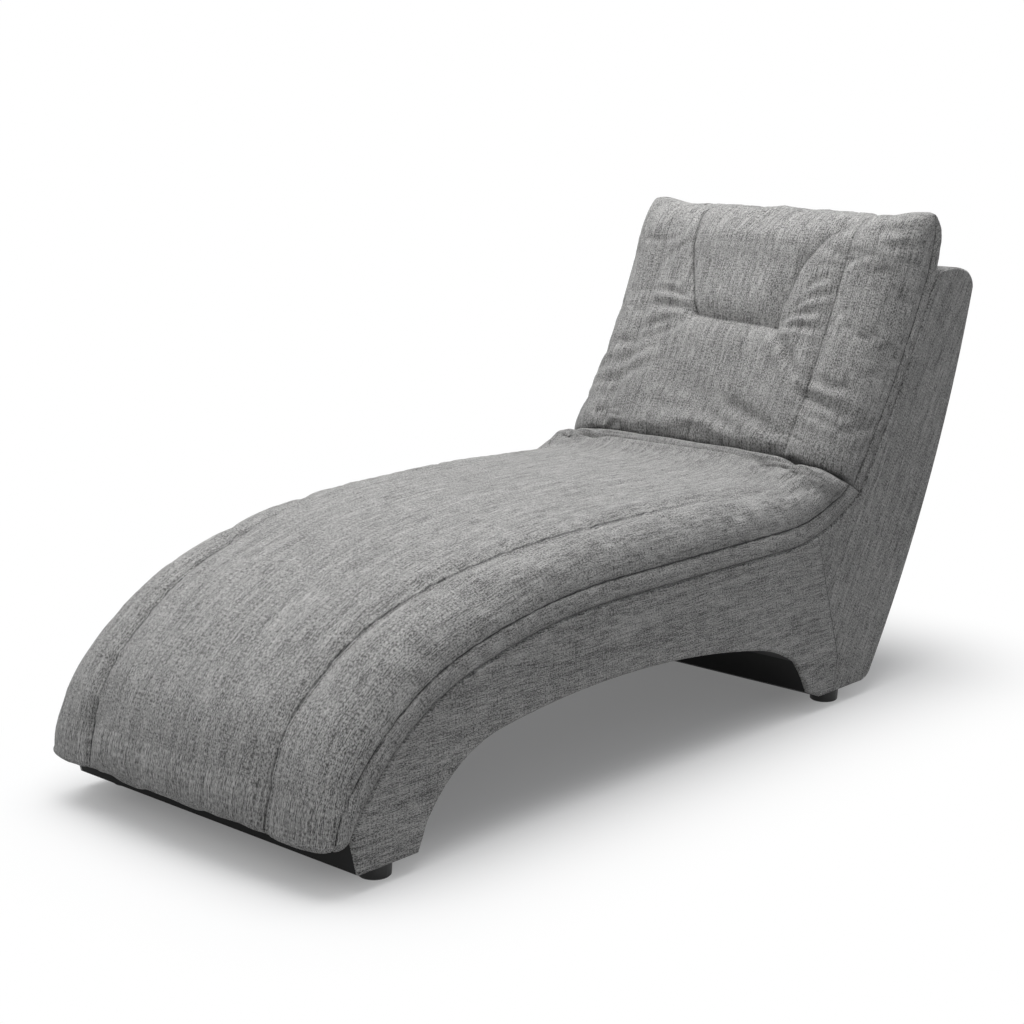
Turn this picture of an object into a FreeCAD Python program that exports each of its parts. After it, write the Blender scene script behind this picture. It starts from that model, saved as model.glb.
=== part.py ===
import FreeCAD, Part
import math
import os

# A fixed chaise longue with an arched base, one long seat cushion that wraps the foot end,
# and a thick back cushion with a sewn head panel that stands above its shell.
# X runs across the width, Y from the foot end to the head end, Z up. Lengths are in mm.
# The side outline is drawn with Y = 0 at the front board, and the finished
# pieces are moved at the end so that the origin lies under the middle of the whole.

Vector = FreeCAD.Vector

# Whole
base_width = 660.0
seat_length = 1246.0            # front board to the crease between the cushions
crease_height = 386.0
back_run = 232.0                # the shell's front edge reaches this far behind the crease
back_rise = 379.0               # and this far above it
gap = 0.3                       # between soft or curved pieces that lie on each other

# Feet and leg bottoms
foot_height = 27.0
foot_radius = 26.5
foot_taper = 1.5                # the foot is this much smaller in radius at the floor
foot_edge = 2.0
foot_from_side = 40.0           # foot centre to the outside of the chaise
front_foot_y = 71.0
rear_foot_y = seat_length - 35.0
stud_radius = 4.0
stud_length = 46.0
stud_in_foot = 16.0

# Side outline, each point as (Y, Z)
front_bottom_y = 5.0
nose_y, nose_z = -9.0, 85.0
shin_y, shin_z = 94.0, 202.0
knee_y, knee_z = 237.0, 274.0
crest_y, crest_z = 563.0, 319.0
dip_y, dip_z = seat_length - 221.0, 317.5
crease_y, crease_z = seat_length, crease_height
shell_top_y, shell_top_z = crease_y + back_run, crease_z + back_rise
back_sag = 13.5                 # hollow of the shell's front edge from a straight line
shell_crown_y, shell_crown_z = shell_top_y + 54.0, shell_top_z + 6.0
shell_round_y, shell_round_z = shell_top_y + 108.0, shell_top_z - 4.0
shell_rear_y, shell_rear_z = shell_top_y + 133.0, shell_top_z - 36.0
rear_belly_y, rear_belly_z = crease_y + 250.0, crease_z + 14.0
tail_y, tail_z = crease_y + 57.0, 42.0
tail_bottom_y = tail_y - 31.0

# Arch under the seat, each point as (Y, Z)
front_leg_y = 124.0
instep_y, instep_z = 143.0, 70.0
arch_front_y, arch_front_z = 307.0, 173.5
arch_top_y, arch_top_z = 540.0, 192.0
arch_rear_y, arch_rear_z = crease_y - 293.0, 153.5
rear_leg_top_y, rear_leg_top_z = crease_y - 186.0, 110.5
rear_leg_low_y, rear_leg_low_z = crease_y - 143.0, 44.0
rear_leg_bow = 3.0              # swell of the leg line from a straight one
rear_leg_y = crease_y - 104.0

# Boards and cloth
board = 18.0                    # plywood of the sides and rails
gusset = 12.0
gusset_low = 62.0               # lower corner before the board joint, and over the block
gusset_lift = 30.0
gusset_length = 128.0
gusset_rear = 118.0             # upper corners behind and before the joint, under the crease
gusset_rear_drop = 28.0
gusset_front = 30.0
gusset_front_drop = 56.0
cloth = 3.2                     # back cover, arch lining and dust cloths on the board edges
side_skin = 8.0                 # side cover with its wadding
side_round = 4.0                # the rim of a side cover is drawn in by this much
board_joint_y = crease_y - 6.0
seam_top_y, seam_top_z = crease_y - 129.0, 334.0
seam_low_y, seam_low_z = crease_y - 54.0, 92.0
seam_end_y = crease_y - 66.0

# Rails between the sides
rail_depth = 60.0
nose_rail_at = 120.0            # places along the deck from the nose
arch_rail_front_at = 378.0
arch_rail_rear_at = 835.0
seat_rear_rail_at = 1140.0
rail_drop = 16.0                # rails lie this far under the deck, clear of the springs
lumbar_rail_at = 56.0           # places along the shell's front edge from the crease
head_rail_at = 362.0
head_rail_depth = 70.0
rear_rail_height = 70.0
block_length = 66.0
block_width = 60.0
block_height = 46.0

# Sprung deck
spring_count = 8
spring_first = 150.0            # place of the first spring along the deck
spring_last = 1215.0
spring_wire = 3.8
spring_width = 46.0
spring_bars = 10
spring_bend = 9.0               # corner cut at each bend
spring_settle = 0.7             # springs sag this much more under the felt
clip_plate = 2.0
clip_height = 20.0
clip_width = 26.0
clip_hook = 1.6
strap_count = 4
strap_first = 154.0             # centre of the first strap along the shell's front edge
strap_last = 329.0
strap_width = 40.0

# Seat cushion
seat_start_z = 58.0             # lower edge of the cushion on the front board
seat_profile = [                # place along the deck from the nose, seam height, seam X
    (0.0, 56.0, 207.0),
    (60.0, 85.0, 207.0),
    (180.0, 98.0, 209.0),
    (345.0, 103.0, 226.0),
    (560.0, 107.0, 253.0),
    (850.0, 108.0, 265.0),
    (1130.0, 99.0, 265.0),
    (1345.0, 104.0, 265.0),
]
seat_places = [0, 22, 48, 80, 118, 162, 212, 270, 340, 430, 560, 700, 850, 990, 1090, 1160,
               1220]
turn_run = 24.0                 # the sections swing upright within this run of the nose
seat_band = 35.0                # side strip under the piped seam
seat_dome = 9.0                 # rise of the middle over the long seams
cushion_corner = 22.0
seat_fan_run = 105.0            # the sections turn to the crease face within this run
crease_roll = 36.0              # both cushions are rolled off over this length at the crease
crease_drop = 0.16              # by this share of their height
crease_ends = [0.0, 0.6, 0.9]
form_sink = 2.0                 # the cushion forms start this far inside the frame

# Back cushion
back_profile = [                # place along the shell's front edge, seam height
    (0.0, 106.0),
    (114.0, 110.0),
    (269.0, 119.0),
    (429.0, 127.0),
]
back_places = [75, 150, 240, 335, 429]
back_band = 24.0
back_seam_x = 214.0
back_dome = 9.0
head_lean = 17.0                # degrees from upright of the part above the shell
head_rise = 102.0               # length of the cushion above the shell
head_lift = 16.0                # its rear lifts this far forward at the top
back_fan_run = 60.0
crease_lean = 34.0              # slope of the seam face between seat and back cushions

# Inside the cushions
cover_side = 12.0
cover_top = 24.0

half = base_width / 2
board_out = half - side_skin - gap
board_in = board_out - board
leg_z = foot_height + gap
spring_under = cloth + 2 * gap + spring_settle
front_foot_x = half - foot_from_side


def at(y, z, x=0.0):
    return Vector(x, y, z)


def line(a, b):
    return Part.LineSegment(a, b).toShape()


def arc(a, b, c):
    return Part.Arc(a, b, c).toShape()


def arc_leaving(start, tangent, end):
    """Arc that leaves start along a direction and ends at a point."""
    chord = end - start
    normal = turned(chord, 90).normalize()
    lean = math.atan2(tangent.dot(normal), tangent.dot(chord) / chord.Length)
    middle = start + chord * 0.5 + normal * (chord.Length / 2 * math.tan(lean / 2))
    return arc(start, middle, end)


def end_tangent(edge, last=True):
    return edge.tangentAt(edge.LastParameter if last else edge.FirstParameter)


def polygon(points):
    return Part.Face(Part.makePolygon(points + [points[0]]))


def across(face, x0, x1):
    """Solid of a side-plane face between two places on X."""
    moved = face.copy()
    moved.translate(Vector(x0, 0, 0))
    return moved.extrude(Vector(x1 - x0, 0, 0))


def one(shape):
    """The largest solid of a result."""
    return max(shape.Solids, key=lambda solid: solid.Volume)


def mirrored(shape):
    return shape.mirror(Vector(0, 0, 0), Vector(1, 0, 0))


def turned(direction, degrees):
    radians = math.radians(degrees)
    cos, sin = math.cos(radians), math.sin(radians)
    return Vector(0, direction.y * cos - direction.z * sin, direction.y * sin + direction.z * cos)


def along(edges, distance):
    """Point, direction and outward normal at a distance along a run of edges."""
    left = distance
    for edge in edges:
        if left <= edge.Length or edge is edges[-1]:
            place = edge.getParameterByLength(min(max(left, 0.0), edge.Length))
            tangent = edge.tangentAt(place)
            return edge.valueAt(place) + tangent * min(left, 0.0), tangent, turned(tangent, 90)
        left -= edge.Length


# Named corners of the side outline
front_bottom = at(front_bottom_y, leg_z)
nose = at(nose_y, nose_z)
knee = at(knee_y, knee_z)
crest = at(crest_y, crest_z)
dip = at(dip_y, dip_z)
crease = at(crease_y, crease_z)
shell_top = at(shell_top_y, shell_top_z)
shell_rear = at(shell_rear_y, shell_rear_z)
tail = at(tail_y, tail_z)
tail_bottom = at(tail_bottom_y, leg_z)
rear_leg = at(rear_leg_y, leg_z)
rear_leg_low = at(rear_leg_low_y, rear_leg_low_z)
rear_leg_top = at(rear_leg_top_y, rear_leg_top_z)
arch_rear = at(arch_rear_y, arch_rear_z)
arch_front = at(arch_front_y, arch_front_z)
instep = at(instep_y, instep_z)
front_leg = at(front_leg_y, leg_z)

shin_arc = arc(nose, at(shin_y, shin_z), knee)
deck = [
    shin_arc,
    arc_leaving(knee, end_tangent(shin_arc), crest),
    line(crest, dip),
    arc_leaving(dip, dip - crest, crease),
]
deck_length = sum(edge.Length for edge in deck)
back_chord = shell_top - crease
back_middle = crease + back_chord * 0.5 - turned(back_chord, 90).normalize() * back_sag
back_edge = arc(crease, back_middle, shell_top)
shell_round = at(shell_round_y, shell_round_z)
crown_arc = arc(shell_top, at(shell_crown_y, shell_crown_z), shell_round)
rear_arc = arc(shell_rear, at(rear_belly_y, rear_belly_z), tail)
shell_edges = [
    crown_arc,
    arc_leaving(shell_round, end_tangent(crown_arc), shell_rear),
    rear_arc,
    arc_leaving(tail, end_tangent(rear_arc), tail_bottom),
]
arch_arc = arc(arch_rear, at(arch_top_y, arch_top_z), arch_front)
arch_rear_arc = arc_leaving(arch_rear, end_tangent(arch_arc, False) * -1, rear_leg_top)
arch_rear_arc.reverse()
leg_chord = rear_leg_top - rear_leg_low
leg_bow = (rear_leg_top + rear_leg_low) * 0.5 + turned(leg_chord, -90).normalize() * rear_leg_bow
arch_edges = [
    line(tail_bottom, rear_leg),
    line(rear_leg, rear_leg_low),
    arc(rear_leg_low, leg_bow, rear_leg_top),
    arch_rear_arc,
    arch_arc,
    arc_leaving(arch_front, end_tangent(arch_arc), instep),
    line(instep, front_leg),
    line(front_leg, front_bottom),
]
front_edge = line(front_bottom, nose)
outline = Part.Face(Part.Wire([front_edge] + deck + [back_edge] + shell_edges + arch_edges))
grown_outline = outline.makeOffset2D(gap)
under_cloth = outline.makeOffset2D(-cloth)
board_outline = outline.makeOffset2D(-cloth - gap)
cloth_ring = outline.cut(under_cloth)

# Zones of the side plane that share out the cloth on the board edges
far = 400.0
wide = 3000.0
reach = 42.0
crease_up = turned(Vector(0, -1, 0), -crease_lean)
zones = {
    "deck": [at(nose_y - far, nose_z), at(nose_y + reach, nose_z), knee + at(reach, -reach),
             crest + at(0, -reach), dip + at(0, -reach), crease - crease_up * reach, crease,
             crease + crease_up * far, at(nose_y - far, crease_z + far)],
    "front": [at(front_bottom_y - far, leg_z - far), front_bottom, front_bottom + at(reach, reach),
              at(nose_y + reach, nose_z), at(nose_y - far, nose_z)],
    "front_leg": [front_bottom + at(0, -far), front_bottom, front_bottom + at(reach, reach),
                  front_leg + at(-reach, reach), front_leg, front_leg + at(0, -far)],
    "arch": [front_leg + at(0, -far), front_leg, front_leg + at(-reach, reach),
             instep + at(-reach, reach), arch_front + at(-reach, reach),
             at(arch_top_y, arch_top_z + reach), arch_rear + at(0, reach),
             rear_leg_top + at(reach, reach), rear_leg + at(reach / 2, reach), rear_leg,
             rear_leg + at(0, -far)],
    "rear_leg": [rear_leg + at(0, -far), rear_leg, rear_leg + at(reach / 2, reach),
                 tail_bottom + at(-reach / 2, reach), tail_bottom, tail_bottom + at(0, -far)],
    "back": [tail_bottom + at(0, -far), tail_bottom, tail_bottom + at(-reach / 2, reach),
             tail + at(-reach, reach), at(rear_belly_y - reach, rear_belly_z),
             shell_top + at(reach, -reach), shell_top, shell_top + at(-reach, reach),
             shell_top + at(-reach, far), shell_rear + at(far, far), tail + at(far, -far)],
}


def cloth_strip(zone, x=board_out):
    """Cloth laid over the board edges in one zone, from side to side."""
    return one(across(cloth_ring.common(polygon(zones[zone])), -x, x))


def plank(start, direction, inward, length, thickness=board, sunk=cloth + gap):
    """Cross board: a rectangle in the side plane, sunk under the cloth, between the sides."""
    a = start + inward * sunk
    b = a + direction * length
    face = polygon([a, b, b + inward * thickness, a + inward * thickness])
    return one(across(face, -board_in, board_in))


def deck_rail(place):
    point, tangent, normal = along(deck, place)
    start = point + tangent * (-board / 2)
    return plank(start, tangent, -normal, board, rail_depth, rail_drop)


def back_rail(place, depth):
    point, tangent, normal = along([back_edge], place)
    return plank(point, tangent, -normal, depth)


def side_boards():
    whole = across(board_outline, board_in, board_out)
    split = at(board_joint_y, 0)
    front_half = polygon([split + at(-wide, -far), split + at(0, -far), split + at(0, wide),
                          split + at(-wide, wide)])
    front_box = across(front_half, 0, half)
    return one(whole.common(front_box)), one(whole.cut(front_box))


def side_covers():
    """Wadded side covers, split along the slanting seam behind the seat."""
    seam_top = at(seam_top_y, seam_top_z)
    seam_low = at(seam_low_y, seam_low_z)
    seam_end = at(seam_end_y, leg_z)
    up = (seam_top - seam_low).normalize()
    rear_face = polygon([seam_top + up * far, seam_low, seam_end, seam_end + at(0, -far),
                         seam_end + at(wide, -far), seam_end + at(wide, wide),
                         seam_top + up * far + at(0, wide)])
    rim_foot = outline.OuterWire.copy()
    rim_foot.translate(Vector(half - side_round, 0, 0))
    rim_top = outline.makeOffset2D(-side_round, join=2).OuterWire
    rim_top.translate(Vector(half, 0, 0))
    slab = across(outline, half - side_skin, half - side_round)
    whole = one(slab.fuse(Part.makeLoft([rim_foot, rim_top], True, True)))
    rear_box = across(rear_face, 0, half + far)
    return one(whole.cut(rear_box)), one(whole.common(rear_box))


def gusset_plate():
    """Plate across the joint of the two side boards, on their inner faces."""
    joint = at(board_joint_y, crease_z)
    low = at(board_joint_y - gusset_low, leg_z + block_height + gusset_lift)
    face = polygon([low, low + at(gusset_length, 0), joint + at(gusset_rear, -gusset_rear_drop),
                    joint + at(-gusset_front, -gusset_front_drop)])
    return one(across(face, board_in - gusset, board_in))


def corner_block(y):
    face = polygon([at(y - block_length / 2, leg_z + cloth + gap),
                    at(y + block_length / 2, leg_z + cloth + gap),
                    at(y + block_length / 2, leg_z + cloth + gap + block_height),
                    at(y - block_length / 2, leg_z + cloth + gap + block_height)])
    block = across(face, board_in - block_width, board_in)
    return one(block.cut(stud_hole(y)))


def stud_hole(y):
    top = foot_height - stud_in_foot + stud_length
    return Part.makeCylinder(stud_radius + gap, top, Vector(front_foot_x, y, 0.01))


def foot(y):
    low = foot_radius - foot_taper
    profile = Part.makePolygon([
        Vector(0, 0, 0), Vector(low - foot_edge, 0, 0), Vector(low, 0, foot_edge),
        Vector(foot_radius, 0, foot_height), Vector(stud_radius + gap / 3, 0, foot_height),
        Vector(stud_radius + gap / 3, 0, foot_height - stud_in_foot - gap),
        Vector(0, 0, foot_height - stud_in_foot - gap), Vector(0, 0, 0)])
    solid = Part.Face(profile).revolve(Vector(0, 0, 0), Vector(0, 0, 1), 360)
    solid.translate(Vector(front_foot_x, y, 0))
    return solid


def stud(y):
    return Part.makeCylinder(stud_radius, stud_length,
                             Vector(front_foot_x, y, foot_height - stud_in_foot))


def ribbon(points, width):
    """Outline of a flat zigzag of even width round a run of points, with mitred corners."""
    left, right = [], []
    for i, point in enumerate(points):
        before = (point - points[max(i - 1, 0)])
        after = (points[min(i + 1, len(points) - 1)] - point)
        if before.Length == 0:
            before = after
        if after.Length == 0:
            after = before
        before.normalize()
        after.normalize()
        middle = (before + after).normalize()
        side = Vector(-middle.y, middle.x, 0)
        half_width = width / 2 / side.dot(Vector(-before.y, before.x, 0))
        left.append(point + side * half_width)
        right.append(point - side * half_width)
    return left + right[::-1]


def spring_at(place):
    """Sinuous spring across the width: bars along the deck, joined by bends."""
    span = 2 * (board_in - clip_plate - spring_wire * 1.5)
    pitch = span / spring_bars
    reach_y = spring_width / 2
    points = [Vector(-span / 2, reach_y - spring_bend, 0)]
    side = -1
    for bar in range(spring_bars):
        x = -span / 2 + bar * pitch
        points += [Vector(x, side * (reach_y - spring_bend), 0),
                   Vector(x + spring_bend * 0.7, side * reach_y, 0),
                   Vector(x + pitch - spring_bend * 0.7, side * reach_y, 0),
                   Vector(x + pitch, side * (reach_y - spring_bend), 0)]
        side = -side
    points.append(Vector(span / 2, side * (reach_y - spring_bend), 0))
    flat = polygon(ribbon(points, spring_wire))
    solid = flat.extrude(Vector(0, 0, -spring_wire))
    point, tangent, normal = along(deck, place)
    seat = point - normal * spring_under
    across_x = Vector(1, 0, 0)
    turn = FreeCAD.Rotation(across_x, tangent, normal, "XYZ")
    solid.Placement = FreeCAD.Placement(seat, turn)
    return solid


def clip_at(place):
    """Hook clip that holds a spring's end bar against the side board."""
    point, tangent, normal = along(deck, place)
    bar_x = board_in - clip_plate - spring_wire * 1.5
    wire_low = spring_under + spring_wire
    hook = clip_hook
    x0 = bar_x - spring_wire / 2 - gap
    x1 = board_in
    top = wire_low + gap
    corners = [Vector(x1, -top - clip_height + hook, 0), Vector(x1, -top + spring_wire, 0),
               Vector(x1 - clip_plate, -top + spring_wire, 0), Vector(x1 - clip_plate, -top, 0),
               Vector(x0, -top, 0), Vector(x0, -top + spring_wire, 0),
               Vector(x0 - hook, -top + spring_wire, 0), Vector(x0 - hook, -top - hook, 0),
               Vector(x1 - clip_plate, -top - hook, 0),
               Vector(x1 - clip_plate, -top - clip_height + hook, 0)]
    solid = polygon(corners).extrude(Vector(0, 0, clip_width))
    solid.translate(Vector(0, 0, -clip_width / 2))
    turn = FreeCAD.Rotation(Vector(1, 0, 0), normal, Vector(0, 0, 0), "XYZ")
    solid.Placement = FreeCAD.Placement(point, turn).multiply(solid.Placement)
    return solid


def strap_at(place):
    """Elastic strap across the front edges of the back boards."""
    point, tangent, normal = along([back_edge], place)
    low = point - tangent * (strap_width / 2)
    high = point + tangent * (strap_width / 2)
    lift = normal * (2 * cloth)
    face = cloth_ring.common(polygon([low - lift, low + lift, high + lift, high - lift]))
    return one(across(face, -board_out, board_out))


def eased(table, place):
    """Values of a table of (place, value, ...) rows, run smoothly from row to row."""
    place = min(max(place, table[0][0]), table[-1][0])
    i = max(k for k in range(len(table) - 1) if table[k][0] <= place)
    rows = [table[max(i - 1, 0)], table[i], table[i + 1], table[min(i + 2, len(table) - 1)]]
    span = rows[2][0] - rows[1][0]
    t = (place - rows[1][0]) / span
    values = []
    for column in range(1, len(table[0])):
        a, b, c, d = [row[column] for row in rows]
        leave = (c - a) / max(rows[2][0] - rows[0][0], span) * span
        reach = (d - b) / max(rows[3][0] - rows[1][0], span) * span
        values.append((2 * t ** 3 - 3 * t * t + 1) * b + (t ** 3 - 2 * t * t + t) * leave
                      + (3 * t * t - 2 * t ** 3) * c + (t ** 3 - t * t) * reach)
    return values


def soft_end(t):
    """Share of the full height on a rounded cushion end, from t = 0 to 1 at the end."""
    return max(1 - abs(t) ** 2.5, 0.0) ** 0.4


def section(point, up, height, seam, band, dome, side, sink, inner=False):
    """Closed cushion section: straight bands, full shoulders, long seams, a domed middle."""
    if inner:
        side = side - cover_side - inner
        height = height - cover_top - inner
    low = min(band, height * 0.5)

    def place(x, up_by):
        return point + Vector(x, 0, 0) + up * up_by

    def shoulder(sign, degrees):
        turn = math.radians(degrees)
        return place(sign * (seam + (side - seam) * math.cos(turn)),
                     low + (height - low) * math.sin(turn))

    if inner:
        corners = [place(-side, -sink), shoulder(-1, 0), shoulder(-1, 45), shoulder(-1, 90),
                   shoulder(1, 90), shoulder(1, 45), shoulder(1, 0), place(side, -sink)]
        return Part.makePolygon(corners + [corners[0]])
    return Part.Wire([
        line(place(-side, -sink), shoulder(-1, 0)),
        arc(shoulder(-1, 0), shoulder(-1, 22.5), shoulder(-1, 45)),
        arc(shoulder(-1, 45), shoulder(-1, 67.5), shoulder(-1, 90)),
        arc(shoulder(-1, 90), place(0, height + dome), shoulder(1, 90)),
        arc(shoulder(1, 90), shoulder(1, 67.5), shoulder(1, 45)),
        arc(shoulder(1, 45), shoulder(1, 22.5), shoulder(1, 0)),
        line(shoulder(1, 0), place(side, -sink)),
        line(place(side, -sink), place(-side, -sink)),
    ])


def narrowed(t):
    """Half width of a cushion near a rounded end, from t = 0 to 1 at the end."""
    return half - cushion_corner * (1 - math.sqrt(max(1 - t * t, 0.0)))


def rolled(t):
    """Share of the full height where a cushion rolls off into the crease."""
    return 1 - crease_drop * (1 - math.sqrt(max(1 - t * t, 0.0)))


def fanned(normal, share):
    """Direction between a normal and the slope of the crease face."""
    return (normal * (1 - share) + crease_up * share).normalize()


def seat_form(inner=0.0, end_inset=0.0):
    """Seat cushion lofted along the deck, from the front board to the crease."""
    front_run = nose_z - seat_start_z
    nose_height = seat_profile[0][1]
    nose_seam = seat_profile[0][2]
    down = (front_bottom - nose).normalize()
    sections = []
    forward = Vector(0, -1, 0)
    for t in ((0.4,) if inner else (0.98, 0.9, 0.7, 0.4)):
        share = soft_end(t)
        sections.append(section(nose + down * (front_run * t), forward,
                                nose_height * share, nose_seam, seat_band, seat_dome * share,
                                narrowed(t), form_sink, inner))
    for place in seat_places:
        height, seam = eased(seat_profile, place)
        point, tangent, normal = along(deck, place)
        if place < turn_run:
            normal = (forward * (turn_run - place) + normal * place).normalize()
        sections.append(section(point, normal, height, seam, seat_band, seat_dome, half,
                                form_sink, inner))
    for t in crease_ends[:2 if inner else 3]:
        place = deck_length - crease_roll * (1 - t)
        height, seam = eased(seat_profile, place)
        point, tangent, normal = along(deck, place)
        upward = fanned(normal, 1 - (deck_length - place) / seat_fan_run)
        sections.append(section(point, upward, height * rolled(t), seam, seat_band, seat_dome,
                                half, form_sink, inner))
    past = crease + turned(crease_up, -90) * (form_sink - end_inset)
    sections.append(section(past, crease_up, seat_profile[-1][1] * rolled(1.0),
                            seat_profile[-1][2], seat_band, seat_dome, half, form_sink, inner))
    return Part.makeLoft(sections, True, True)


def back_form(inner=0.0, end_inset=0.0):
    """Back cushion lofted up the shell and on above it to the head end."""
    head_up = Vector(0, math.sin(math.radians(head_lean)), math.cos(math.radians(head_lean)))
    path = [back_edge, line(shell_top, shell_top + head_up * head_rise)]
    low = crease - turned(crease_up, -90) * (form_sink - end_inset)
    sections = [section(low, crease_up, back_profile[0][1] * rolled(1.0), back_seam_x,
                        back_band, back_dome, half, form_sink, inner)]
    rolls = [(crease_roll * (1 - t), t) for t in crease_ends[1 if inner else 2::-1]]
    for place, t in rolls + [(place, 0.0) for place in back_places]:
        height = eased(back_profile, place)[0]
        point, tangent, normal = along(path, place)
        upward = fanned(normal, max(1 - place / back_fan_run, 0.0))
        sections.append(section(point, upward, height * rolled(t), back_seam_x, back_band,
                                back_dome, half, form_sink, inner))
    top_height = back_profile[-1][1]
    rear_skin = -cover_side if inner else 0.0
    for t in ((0.01, 0.3, 0.55, 0.78) if inner else (0.3, 0.58, 0.78, 0.9, 0.965, 0.99)):
        point, tangent, normal = along(path, back_edge.Length + head_rise * t)
        share = soft_end(t)
        lift = head_lift * t ** 4
        sections.append(section(point + normal * lift, normal, top_height * share - lift,
                                back_seam_x, back_band, back_dome * (share - t ** 3) - 1,
                                narrowed(t ** 3), rear_skin, inner))
    return Part.makeLoft(sections, True, True)


def crease_face(side):
    """Half plane of the side view in front of (-1) or behind (+1) the cushion seam."""
    along_up = crease_up
    rearward = turned(crease_up, -90)
    start = crease + rearward * side * gap / 2
    return polygon([start - along_up * wide, start + along_up * wide,
                    start + along_up * wide + rearward * side * wide,
                    start - along_up * wide + rearward * side * wide])


nodes = {}


def add(name, shape):
    nodes[name] = shape


def add_pair(name, shape):
    add(name + "_right", shape)
    add(name + "_left", mirrored(shape))


base_board, back_board = side_boards()
add_pair("base_side_board", base_board)
add_pair("back_side_board", back_board)
add_pair("gusset_plate", gusset_plate())
base_cover, back_cover_side = side_covers()
add_pair("base_side_cover", base_cover)
add_pair("back_side_cover", back_cover_side)

front_up = (nose - front_bottom).normalize()
front_inward = turned(front_up, -90)
front_start = front_bottom + front_up * (cloth + gap)
add("front_rail", plank(front_start, front_up, front_inward, (nose - front_start).Length - 2 * cloth))
add("nose_rail", deck_rail(nose_rail_at))
add("arch_rail_front", deck_rail(arch_rail_front_at))
add("arch_rail_rear", deck_rail(arch_rail_rear_at))
add("seat_rear_rail", deck_rail(seat_rear_rail_at))
leg_up = (rear_leg_top - rear_leg_low).normalize()
add("rear_leg_board", plank(rear_leg_low + leg_up * board, leg_up, turned(leg_up, -90),
                            leg_chord.Length - 2 * board, sunk=cloth + 2 * gap + rear_leg_bow))
step_up = (instep - front_leg).normalize()
add("front_leg_board", plank(front_leg + step_up * (cloth + gap) * 1.3, step_up,
                             turned(step_up, 90), (instep - front_leg).Length))
add("lumbar_rail", back_rail(lumbar_rail_at, rail_depth))
add("head_rail", back_rail(head_rail_at, head_rail_depth))
rear_length = rear_arc.Length


def rear_rail(place):
    point, tangent, normal = along([rear_arc], place)
    start = point - tangent * (rear_rail_height / 2)
    return plank(start, tangent, -normal, rear_rail_height, board, cloth + 2 * gap)


add("rear_bottom_rail", rear_rail(rear_length - rear_rail_height))
add("rear_mid_rail", rear_rail(rear_length * 0.5))
add("shell_cap_rail", rear_rail(rear_rail_height * 0.65))

for where, y in (("front", front_foot_y), ("rear", rear_foot_y)):
    add_pair("corner_block_" + where, corner_block(y))
    add(where + "_feet", Part.makeCompound([foot(y), mirrored(foot(y))]))
studs = [stud(y) for y in (front_foot_y, rear_foot_y)]
add("foot_studs", Part.makeCompound(studs + [mirrored(s) for s in studs]))

places = [spring_first + (spring_last - spring_first) * i / (spring_count - 1)
          for i in range(spring_count)]
for i, place in enumerate(places):
    add("seat_spring_%d" % (i + 1), spring_at(place))
clips = [clip_at(place) for place in places]
add("spring_clips_right", Part.makeCompound(clips))
add("spring_clips_left", Part.makeCompound([mirrored(clip) for clip in clips]))
for i in range(strap_count):
    place = strap_first + (strap_last - strap_first) * i / (strap_count - 1)
    add("back_strap_%d" % (i + 1), strap_at(place))

add("spring_felt", cloth_strip("deck"))
add("front_board_cloth", cloth_strip("front"))
add("arch_lining", cloth_strip("arch"))
add("outer_back_cover", cloth_strip("back"))
for where, y in (("front", front_foot_y), ("rear", rear_foot_y)):
    sheet = cloth_strip(where + "_leg")
    for hole in (stud_hole(y), mirrored(stud_hole(y))):
        sheet = sheet.cut(hole)
    add(where + "_dust_cloth", one(sheet))

frame_solid = across(grown_outline, -half - far, half + far)
in_front = across(crease_face(-1), -half - far, half + far)
behind = across(crease_face(1), -half - far, half + far)
seat_outer = seat_form().cut(frame_solid).common(in_front)
add("seat_foam", one(seat_form(2 * gap, 8.0).cut(frame_solid).common(in_front)))
add("seat_cover", one(seat_outer.cut(seat_form(gap, 8.0))))

back_outer = back_form().cut(frame_solid).common(behind)
add("back_foam", one(back_form(2 * gap).cut(frame_solid).common(behind)))
add("back_cover", one(back_outer.cut(back_form(gap))))

box = FreeCAD.BoundBox()
for shape in nodes.values():
    box.add(shape.optimalBoundingBox(False, False))
centre_y = (box.YMin + box.YMax) / 2
os.makedirs("parts", exist_ok=True)
for name, shape in nodes.items():
    shape.translate(Vector(0, -centre_y, 0))
    shape.exportStep("parts/%s.step" % name)
print("length %.1f width %.1f height %.1f centre %.2f nodes %d" %
      (box.YLength, box.XLength, box.ZMax, centre_y, len(nodes)))
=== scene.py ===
import bpy
import math
import numpy as np
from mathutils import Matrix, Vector
from mathutils.bvhtree import BVHTree


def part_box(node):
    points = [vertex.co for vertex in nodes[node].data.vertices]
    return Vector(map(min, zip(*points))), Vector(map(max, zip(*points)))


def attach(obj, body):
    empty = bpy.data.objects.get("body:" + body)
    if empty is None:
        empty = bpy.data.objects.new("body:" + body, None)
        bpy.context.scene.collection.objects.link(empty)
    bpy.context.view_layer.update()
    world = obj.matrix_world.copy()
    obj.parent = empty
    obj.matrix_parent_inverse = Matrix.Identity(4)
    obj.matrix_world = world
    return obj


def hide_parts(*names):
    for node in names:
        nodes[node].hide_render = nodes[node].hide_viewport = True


# Chaise longue with an arched base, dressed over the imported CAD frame.
# Metres throughout: X across, +Y towards the head end, Z up.

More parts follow.
